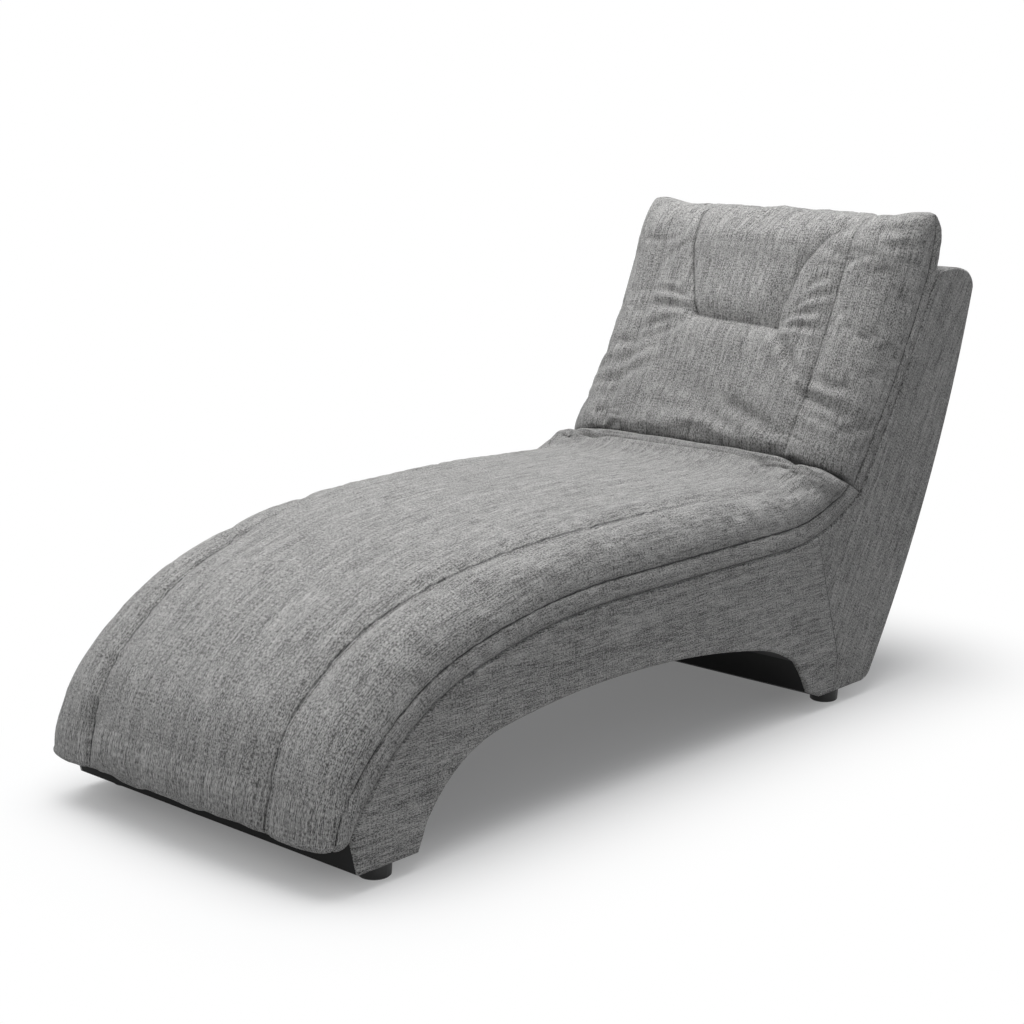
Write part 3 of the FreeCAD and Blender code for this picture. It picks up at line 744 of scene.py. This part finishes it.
def cushionGrid(shape, columns, fromCrease, base, up, side, height, seam, dome, lift):
    """Grid of a cushion whose sections turn and roll down into the crease."""
    fan = np.clip(1 - fromCrease / shape["fanRun"], 0, 1)[:, None]
    up = up * (1 - fan) + creaseUp * fan
    up /= np.linalg.norm(up, axis=1, keepdims=True)
    roll = arcDrop(np.clip(1 - (fromCrease - shape["rollFrom"]) / shape["endRound"], 0, 1))
    height = height * (1 - shape["endDrop"] * roll)
    x, h = sectionGrid(columns, side, height, seam, shape["band"], dome)
    # the top draws in over the band, which runs on
    x -= np.sign(x) * edge["draw"] * roll[:, None] * rising(h, shape["band"], edge["drawRise"]) \
        * rising(np.abs(x), edge["drawFrom"], edge["drawRun"])
    return gridPoints(base + up * (edge["gap"] + lift)[:, None], up, x, h), h


def sewnCloth(points, places, columns, heights, shape, creaseAt, folds):
    """Seams, crease and softness: u, v, a shift along the normals, a shade of seam lines and
    painted shade, and what is free.
    """
    run = acrossRun(points)
    mid = len(columns) // 2
    u = run - run[:, mid:mid + 1]
    v = np.repeat(places[:, None], len(columns), 1)
    x = points[..., 0]
    tucked = fading(heights, edge["tuck"])
    shift = -edge["tuck"] * tucked
    # painted shade: a dark line along the tucked lower edge, at the sides only
    shade = edge["gapShade"] * tucked \
        * rising(np.abs(x), shape["halfWidth"] - edge["gapFrom"], edge["gapRun"])
    for seams, groove, width, pull, reach, dark, lost in shape["seamLines"]:
        kept = 1 - lost * rising(v, edge["lossFrom"], edge["lossRun"])
        for seam in seams:
            j = seamColumn(columns, seam)
            distance = np.abs(run - run[:, j:j + 1])
            shift += seamLine(distance, groove, width, pull, reach) * kept
            shade = np.maximum(shade, dark * kept * fading(distance, edge["seamDark"]))
    free = rising(heights, edge["freeFrom"], edge["freeRun"])
    # painted shade at the crease: a dark contact line over the free cloth and a faint wide dimming
    (dark, narrow), (faint, wide) = shape["creaseShade"]
    shade = np.maximum(shade, dark * fading(v - creaseAt, narrow) * free)
    shade = np.maximum(shade, faint * fading(v - creaseAt, wide))
    for depth, cellU, cellV, seed in shape["waves"]:
        shift += depth * softNoise(u, v, cellU, cellV, seed) * free
    for line, width, depth in folds:
        shift += fold(x, v, line, width, depth) * free
    return u, v, shift, shade, free


def finishGrid(name, points, u, v, seamsAndShade, replaced):
    mesh = gridMesh(name, points)
    layer = mesh.uv_layers.new(name="weave")
    picked = np.zeros(len(mesh.loops), int)
    mesh.loops.foreach_get("vertex_index", picked)
    layer.data.foreach_set("uv", np.stack([u, v], -1).reshape(-1, 2)[picked].reshape(-1))
    # the closing face behind the cushion stays plain cloth
    seamsAndShade[:, 0] = seamsAndShade[:, -1] = 0
    # the seam attribute holds the seam lines together with painted shade at the lower edge and the
    # crease
    shade = mesh.attributes.new("seam", "FLOAT", "POINT")
    shade.data.foreach_set("value", seamsAndShade.reshape(-1).astype(np.float32))
    smoothShade(mesh)
    obj = newObject(name, mesh)
    mesh.materials.append(cushionCloth)
    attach(obj, "root")
    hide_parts(replaced)
    return obj


def dressed(name, shape, gridOf, surfaceOf, replaced):
    """Cushion in place of a packed cover, with its rows of thread noted down."""
    columns = columnPlan(shape, *shape["columns"])
    points, places, heights = gridOf(columns, shape["rows"])
    moved, rowsFrom, columnsFrom = puffed(gridOf, shape)
    points = points + resampled(moved, rowsFrom, columnsFrom, places, columns)
    u, v, shift, shade = surfaceOf(points, places, columns, heights)
    points = points + gridNormals(points) * shift[..., None]
    for seam, first, last in shape["sewn"]:
        threads.append(seamRow(points, columns, places, seam, first, last))
    return finishGrid(name, points, u, v, shade, replaced)


seatShape = {
    "halfWidth": 0.330,
    "band": 0.035,              # side strip under the piped seam
    "seamX": 0.255,             # long seams from the middle, where the seat is widest
    "height": 0.105,
    "frontDrop": 0.021,         # the cushion runs this far down the front board
    "corner": 0.022,
    "dome": 0.009,
    "columns": (0.0010, 0.008),     # closest and widest spacing
    "rows": 0.005,
    "lastRows": (0.006, 0.003),     # before the crease
    # places along the deck from the nose, then seam height and seam X
    "heights": [(0.0, 0.056), (0.06, 0.085), (0.18, 0.098), (0.345, 0.103), (0.56, 0.107),
                (0.85, 0.108), (1.13, 0.099), (1.345, 0.104)],
    "seams": [(0.0, 0.207), (0.18, 0.209), (0.345, 0.226), (0.56, 0.253), (0.85, 0.265),
              (1.13, 0.265)],
    "turnRun": 0.024,
    "fanRun": 0.105,            # the sections turn to the crease within this run
    "endRound": 0.036,          # the rear end rolls down into the crease over this length
    "rollFrom": 0.0,
    "endDrop": 0.16,            # by this share of its height
    # seams, groove, its width, pull, its reach, darkness, share lost towards the crease
    "seamLines": [((1, 4), 0.0028, 0.0020, 0.0030, 0.012, 0.9, 0),
                  ((2, 3), 0.0016, 0.0016, 0.0032, 0.016, 0.75, 0.75)],
    "sewn": [(seam, 0.0, deckPath.length - 0.0754) for seam in (2, 3)],
    "creaseShade": [(0.75, 0.013), (0.19, 0.18)],    # painted shade at the crease: darkness and reach
    "waves": [(0.0018, 0.12, 0.22, 11), (0.0009, 0.035, 0.09, 12)],     # depth, cell, seed
    "swell": 0.0065,            # soft ridge before the crease, its distance and reach
    "swellAt": 0.040,
    "swellReach": 0.026,
    # creases as (points, width, depth), in X and distance before the crease
    "folds": [
        ([(-0.26, 0.078), (-0.12, 0.094), (0.06, 0.090), (0.22, 0.078)], 0.015, 0.0065),
        ([(0.322, 0.040), (0.285, 0.085), (0.262, 0.165)], 0.010, 0.0055),
        ([(0.318, 0.030), (0.262, 0.072), (0.205, 0.110)], 0.009, 0.0045),
        ([(0.326, 0.060), (0.306, 0.130), (0.297, 0.215)], 0.009, 0.0040),
        ([(0.312, 0.020), (0.250, 0.042), (0.190, 0.060)], 0.008, 0.0040),
        ([(-0.305, 0.050), (-0.255, 0.105), (-0.195, 0.160)], 0.011, 0.0050),
        ([(-0.290, 0.038), (-0.225, 0.075), (-0.165, 0.120)], 0.010, 0.0045),
        ([(-0.225, 0.032), (-0.160, 0.052), (-0.090, 0.062)], 0.009, 0.0035),
        ([(0.145, 0.095), (0.182, 0.112), (0.228, 0.118)], 0.013, 0.0042),
        ([(0.040, 0.030), (0.090, 0.050), (0.150, 0.052)], 0.009, 0.0034),
    ],
}


def seatGrid(columns, step):
    shape = seatShape
    end, near, last = deckPath.length, edge["nearCrease"], shape["lastRows"]
    front = np.array([0.995, 0.985, 0.96, 0.92, 0.86, 0.78, 0.68, 0.56, 0.42, 0.28, 0.14])
    places = np.r_[-shape["frontDrop"] * front, np.arange(0, end - near, step),
                   np.arange(end - near, end - last[0], edge["closeRows"]),
                   end - np.array([*last, edge["gap"]])]
    base, normal = deckPath.at(places)
    t = np.maximum(-places / shape["frontDrop"], 0)
    height = tableCurve(shape["heights"], places) * softEnd(t)
    side = shape["halfWidth"] - shape["corner"] * arcDrop(t)
    blend = np.clip(places / shape["turnRun"], 0, 1)[:, None]
    up = np.array([-1.0, 0.0]) * (1 - blend) + normal * blend
    points, h = cushionGrid(shape, columns, end - places, base, up, side, height,
                            tableCurve(shape["seams"], places), shape["dome"] * softEnd(t), 0 * t)
    return points, places, h


def seatSurface(points, places, columns, heights):
    shape = seatShape
    end = places[-1]
    folds = [([(x, end - before) for x, before in line], width, depth)
             for line, width, depth in shape["folds"]]
    u, v, shift, shade, free = sewnCloth(points, places, columns, heights, shape, end, folds)
    # a stitched lap runs beside each long seam, fading towards the crease
    for seam in (2, 3):
        j = seamColumn(columns, seam)
        outward = (u - u[:, j:j + 1]) * np.sign(seam - 2.5)
        lap = fading(outward - stitching["offset"], stitching["lapWidth"]) \
            * ease((stitching["lapEnd"] - v) / stitching["lapFade"])
        shift -= stitching["lapDepth"] * lap
        shade = np.maximum(shade, stitching["lapDark"] * lap)
    shift += shape["swell"] * fading(v - end + shape["swellAt"], shape["swellReach"]) * free
    return u, v, shift, shade


backShape = {
    "halfWidth": 0.330,
    "band": 0.024,
    "seamX": 0.214,
    "height": 0.119,
    "corner": 0.012,
    "dome": 0.009,
    "columns": (0.0010, 0.0028),
    "rows": 0.0028,
    "heights": [(0.0, 0.106), (0.114, 0.110), (0.269, 0.119), (0.429, 0.127)],
    "headLean": 17.0,
    "headRise": 0.102,
    "headLift": 0.016,          # its rear face comes forward by this much at the top
    "headSink": 0.001,
    "turnBefore": 0.05,         # the sections turn upright from here below the shell's top
    "turnRun": 0.07,
    "fanRun": 0.060,
    "endRound": 0.036,
    "rollFrom": 0.0004,
    "endDrop": 0.16,
    "ear": 0.012,               # the top corners stand this much over the middle
    "earFrom": 0.225,           # from the middle, and its runs across, up and through
    "earRun": 0.095,
    "earRise": 0.09,
    "earFoot": 0.02,
    "seamLines": [((1, 4), 0.0022, 0.0018, 0.0028, 0.011, 0.8, 0),
                  ((2,), 0.0010, 0.0016, 0.0026, 0.018, 0.25, 0),
                  ((3,), 0.0014, 0.0016, 0.0034, 0.016, 0.55, 0)],
    "sewn": [(3, 0.05, backPath.length + 0.02)],
    # painted shade at the crease, darkness and reach
    "creaseShade": [(0.8, 0.012), (0.24, 0.17)],
    "waves": [(0.0018, 0.11, 0.16, 21), (0.0009, 0.035, 0.08, 22)],
}

# sewn head panel: a crisp seam, a soft one and a deep crease below, with the panel swelling
headPanel = {
    "low": 0.262,               # its lower crease along the cushion
    "swell": 0.006,             # over the crease, its height above it and reach
    "swellAt": 0.055,
    "swellReach": 0.05,
    "underSwell": 0.0035,       # the same below the crease
    "underAt": 0.045,
    "underReach": 0.035,
    "underHalf": 0.15,
    "underSoft": 0.08,
    "middleX": 0.012,
    "halfWidth": 0.085,         # at the crease, and how it widens upwards
    "widens": 0.09,
    "widensOver": 0.25,
    "soft": 0.05,
    "seamDark": 0.0024,
    # points in X and distance up the cushion, groove, its width, pull, its reach, darkness; on the
    # lower crease the darkness is painted shade
    "lines": [
        ([(-0.160, 0.548), (-0.151, 0.511), (-0.139, 0.471), (-0.135, 0.428), (-0.124, 0.380),
          (-0.083, 0.271)], 0.0034, 0.0028, 0.0055, 0.018, 0.75),
        ([(-0.083, 0.271), (-0.040, 0.264), (0.011, 0.262), (0.060, 0.260), (0.106, 0.260)],
         0.0034, 0.0045, 0.0080, 0.018, 0.45),
        ([(0.106, 0.260), (0.111, 0.305), (0.125, 0.377), (0.155, 0.458), (0.190, 0.509)],
         0.0026, 0.0040, 0.0065, 0.019, 0.30),
    ],
}


def backGrid(columns, step):
    shape = backShape
    end, start, near = backPath.length, edge["gap"], edge["gap"] + edge["nearCrease"]
    head = np.r_[np.arange(0.06, 0.67, 0.06), 0.71, 0.76, 0.80, 0.84, 0.875, 0.905, 0.93, 0.95,
                 0.967, 0.98, 0.99, 0.997]
    places = np.r_[np.arange(start, near, edge["closeRows"]), np.arange(near, end, step),
                   end + shape["headRise"] * head]
    over = np.maximum(places - end, 0)
    t = over / shape["headRise"]
    base, normal = backPath.at(np.minimum(places, end))
    lean = math.radians(shape["headLean"])
    headUp = np.array([math.sin(lean), math.cos(lean)])
    headOut = np.array([-math.cos(lean), math.sin(lean)])
    turn = rising(places, end - shape["turnBefore"], shape["turnRun"])[:, None]
    up = normal * (1 - turn) + headOut * turn
    lift = shape["headLift"] * t ** 4
    height = tableCurve(shape["heights"], places) * softEnd(t) - lift
    dome = shape["dome"] * (softEnd(t) - t ** 3) - shape["headSink"] * (t > 0)
    side = shape["halfWidth"] - shape["corner"] * arcDrop(t ** 3)
    points, h = cushionGrid(shape, columns, places, base + headUp * over[:, None], up, side,
                            height, np.full(len(places), shape["seamX"]), dome, lift)
    ear = shape["ear"] * rising(np.abs(points[..., 0]), shape["earFrom"], shape["earRun"]) \
        * rising(places, end, shape["earRise"])[:, None] * rising(h, 0, shape["earFoot"])
    points[..., 1:] += headUp * ear[..., None]
    return points, places, h


def backFolds():
    """Creases in the back as (points, width, depth), in X and distance up the cushion."""
    low = headPanel["low"]
    return [
        ([(-0.085, low + 0.01), (-0.125, low + 0.018), (-0.200, low + 0.022)], 0.010, 0.0060),
        ([(-0.088, low - 0.004), (-0.135, low - 0.014), (-0.215, low - 0.040)], 0.011, 0.0050),
        ([(-0.095, low - 0.018), (-0.145, low - 0.040), (-0.205, low - 0.068)], 0.010, 0.0047),
        ([(-0.110, low + 0.036), (-0.150, low + 0.050), (-0.195, low + 0.052)], 0.008, 0.0034),
        ([(0.112, low + 0.010), (0.150, low + 0.030), (0.200, low + 0.036)], 0.009, 0.0057),
        ([(0.115, low - 0.002), (0.160, low + 0.004), (0.205, low + 0.000)], 0.009, 0.0052),
        ([(0.112, low - 0.014), (0.150, low - 0.050), (0.190, low - 0.110)], 0.011, 0.0090),
        ([(0.125, low + 0.030), (0.160, low + 0.062), (0.205, low + 0.075)], 0.008, 0.0039),
        ([(0.135, low + 0.060), (0.170, low + 0.098), (0.207, low + 0.115)], 0.008, 0.0031),
        ([(0.185, 0.142), (0.235, 0.122), (0.307, 0.108)], 0.013, 0.0104),
        ([(0.195, 0.115), (0.245, 0.094), (0.307, 0.080)], 0.010, 0.0057),
        ([(0.205, 0.168), (0.250, 0.158), (0.300, 0.160)], 0.011, 0.0044),
        ([(0.060, 0.092), (0.120, 0.070), (0.185, 0.046)], 0.014, 0.0092),
        ([(-0.130, 0.140), (0.0, 0.092), (0.120, 0.062)], 0.028, 0.0060),
        ([(0.010, 0.070), (0.060, 0.052), (0.120, 0.040)], 0.012, 0.0047),
        ([(-0.120, 0.215), (-0.210, 0.160), (-0.300, 0.136)], 0.014, 0.0036),
        ([(-0.130, 0.160), (-0.220, 0.112), (-0.305, 0.100)], 0.013, 0.0040),
        ([(-0.195, 0.090), (-0.250, 0.074), (-0.305, 0.070)], 0.012, 0.0026),
        ([(-0.140, 0.235), (-0.220, 0.200), (-0.305, 0.186)], 0.012, 0.0026),
        ([(-0.140, 0.080), (-0.060, 0.062), (0.010, 0.066)], 0.016, 0.0044),
        ([(0.312, 0.500), (0.290, 0.492), (0.258, 0.490)], 0.008, 0.0044),
        ([(0.318, 0.474), (0.300, 0.466), (0.276, 0.464)], 0.007, 0.0039),
    ]


def backSurface(points, places, columns, heights):
    u, v, shift, shade, free = sewnCloth(points, places, columns, heights, backShape, 0,
                                         backFolds())
    panel = headPanel
    x, over = points[..., 0], v - panel["low"]
    for line, groove, width, pull, reach, dark in panel["lines"]:
        distance = lineDistance(x, v, line)
        shift += seamLine(distance, groove, width, pull, reach) * free
        # the darkness is the seam line, and on the lower crease also painted shade
        shade = np.maximum(shade, dark * fading(distance, panel["seamDark"]) * free)
    half = panel["halfWidth"] + panel["widens"] * np.clip(over / panel["widensOver"], 0, 1)
    inside = ease((half - np.abs(x - panel["middleX"])) / panel["soft"])
    shift += panel["swell"] * fading(over - panel["swellAt"], panel["swellReach"]) * inside
    shift += panel["underSwell"] * fading(over + panel["underAt"], panel["underReach"]) \
        * ease((panel["underHalf"] - np.abs(x)) / panel["underSoft"])
    return u, v, shift, shade


seatPiece = dressed("seatCushion", seatShape, seatGrid, seatSurface, "seat_cover")
print("seat cushion: %d faces" % len(seatPiece.data.polygons))
backPiece = dressed("backCushion", backShape, backGrid, backSurface, "back_cover")
print("back cushion: %d faces" % len(backPiece.data.polygons))
stitchPiece = sewRows("seamStitches", threads)
print("stitches: %d faces" % len(stitchPiece.data.polygons))


# floor, light and camera
photoView = {
    "lens": 73.1,               # mm, on a 36 mm sensor
    "azimuth": 42.61,           # degrees round from the foot end, and above the horizon
    "elevation": 12.44,
    "x": 2.3478,                # metres from the middle line, the front feet and the floor
    "fromFrontFeet": -1.9436,
    "z": 1.1592,
}


def aimed(name, data, place, direction):
    obj = newObject(name, data)
    obj.location = place
    obj.rotation_mode = "QUATERNION"
    obj.rotation_quaternion = direction.to_track_quat("-Z", "Y")
    return obj


def addCamera():
    low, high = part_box("front_feet")
    camera = bpy.data.cameras.new("camera")
    camera.lens = photoView["lens"]
    camera.sensor_width = 36.0
    azimuth, elevation = math.radians(photoView["azimuth"]), math.radians(photoView["elevation"])
    back = Vector((math.sin(azimuth) * math.cos(elevation),
                   -math.cos(azimuth) * math.cos(elevation), math.sin(elevation)))
    place = (photoView["x"], (low.y + high.y) / 2 + photoView["fromFrontFeet"], photoView["z"])
    bpy.context.scene.camera = aimed("camera", camera, place, -back)


floorLook = {
    "size": 14.0,
    "visible": 0.94,            # what the camera sees, and what the floor throws back
    "bounce": 0.42,
    "halfX": 0.20,              # past this footprint the floor runs out to plain white
    "halfY": 0.68,
    "fade": 0.46,
    "lift": 0.16,               # share of white under the piece itself
}


def seenRays(tree):
    """1 for rays from the camera, also by way of a glossy or clear surface."""
    path = tree.nodes.new("ShaderNodeLightPath")
    either = mathNode(tree, "MAXIMUM", path.outputs["Is Camera Ray"],
                      path.outputs["Is Glossy Ray"])
    return mathNode(tree, "MAXIMUM", either, path.outputs["Is Transmission Ray"])


def mixShader(tree, share, first, second):
    return addNode(tree, "ShaderNodeMixShader", {"Fac": share, 1: first, 2: second}).outputs[0]


def addFloor():
    size = floorLook["size"]
    corners = [(-size, -size, 0), (size, -size, 0), (size, size, 0), (-size, size, 0)]
    floor = newObject("floor", meshFrom("floor", corners, [(0, 1, 2, 3)]))
    material = bpy.data.materials.new("floor")
    material.use_nodes = True
    tree = material.node_tree
    tree.nodes.remove(tree.nodes["Principled BSDF"])
    seen, thrown = [addNode(tree, "ShaderNodeBsdfDiffuse",
                            {"Color": (*[floorLook[key]] * 3, 1)}).outputs[0]
                    for key in ("visible", "bounce")]
    white = addNode(tree, "ShaderNodeEmission", {"Color": (1, 1, 1, 1)}).outputs[0]
    vector = addNode(tree, "ShaderNodeTexCoord").outputs["Object"]
    vector = vectorMath(tree, "ABSOLUTE", {0: vector})
    half = (floorLook["halfX"], floorLook["halfY"], 0)
    vector = vectorMath(tree, "SUBTRACT", {0: vector, 1: half})
    vector = vectorMath(tree, "MAXIMUM", {0: vector, 1: (0, 0, 0)})
    wires = {"Value": vectorMath(tree, "LENGTH", {0: vector}), "From Max": floorLook["fade"],
             "To Min": floorLook["lift"]}
    fade = addNode(tree, "ShaderNodeMapRange", wires, interpolation_type="SMOOTHSTEP")
    far = mixShader(tree, fade.outputs["Result"], seen, white)
    pick = mixShader(tree, seenRays(tree), thrown, far)
    tree.links.new(pick, tree.nodes["Material Output"].inputs["Surface"])
    floor.data.materials.append(material)


lights = {
    # place, point it faces, size and watts
    "top": ((-0.45, -0.15, 3.4), (0, 0, 0.2), (3.6, 3.8), 131),
    "front": ((-1.4, -3.2, 2.6), (0, 0, 0.4), (2.4, 1.6), 1.5),
}


def areaLight(name, place, target, size, power):
    light = bpy.data.lights.new(name, "AREA")
    light.shape = "RECTANGLE"
    light.size, light.size_y = size
    light.energy = power
    aimed(name, light, place, Vector(target) - Vector(place))


# the room lights the piece with this; the camera sees plain white
roomLight = {
    "color": (0.95, 0.97, 1.0),
    "strength": 0.28,
}


def addWorld():
    world = bpy.data.worlds.new("studio")
    bpy.context.scene.world = world
    world.use_nodes = True
    tree = world.node_tree
    room = tree.nodes["Background"]
    room.inputs["Color"].default_value = (*roomLight["color"], 1)
    room.inputs["Strength"].default_value = roomLight["strength"]
    white = addNode(tree, "ShaderNodeBackground", {"Color": (1, 1, 1, 1), "Strength": 1.0})
    pick = mixShader(tree, seenRays(tree), room.outputs[0], white.outputs[0])
    tree.links.new(pick, tree.nodes["World Output"].inputs["Surface"])


addCamera()
addFloor()
addWorld()
for name, values in lights.items():
    areaLight(name, *values)
bpy.context.scene.view_settings.view_transform = "Standard"
print("stage ready")
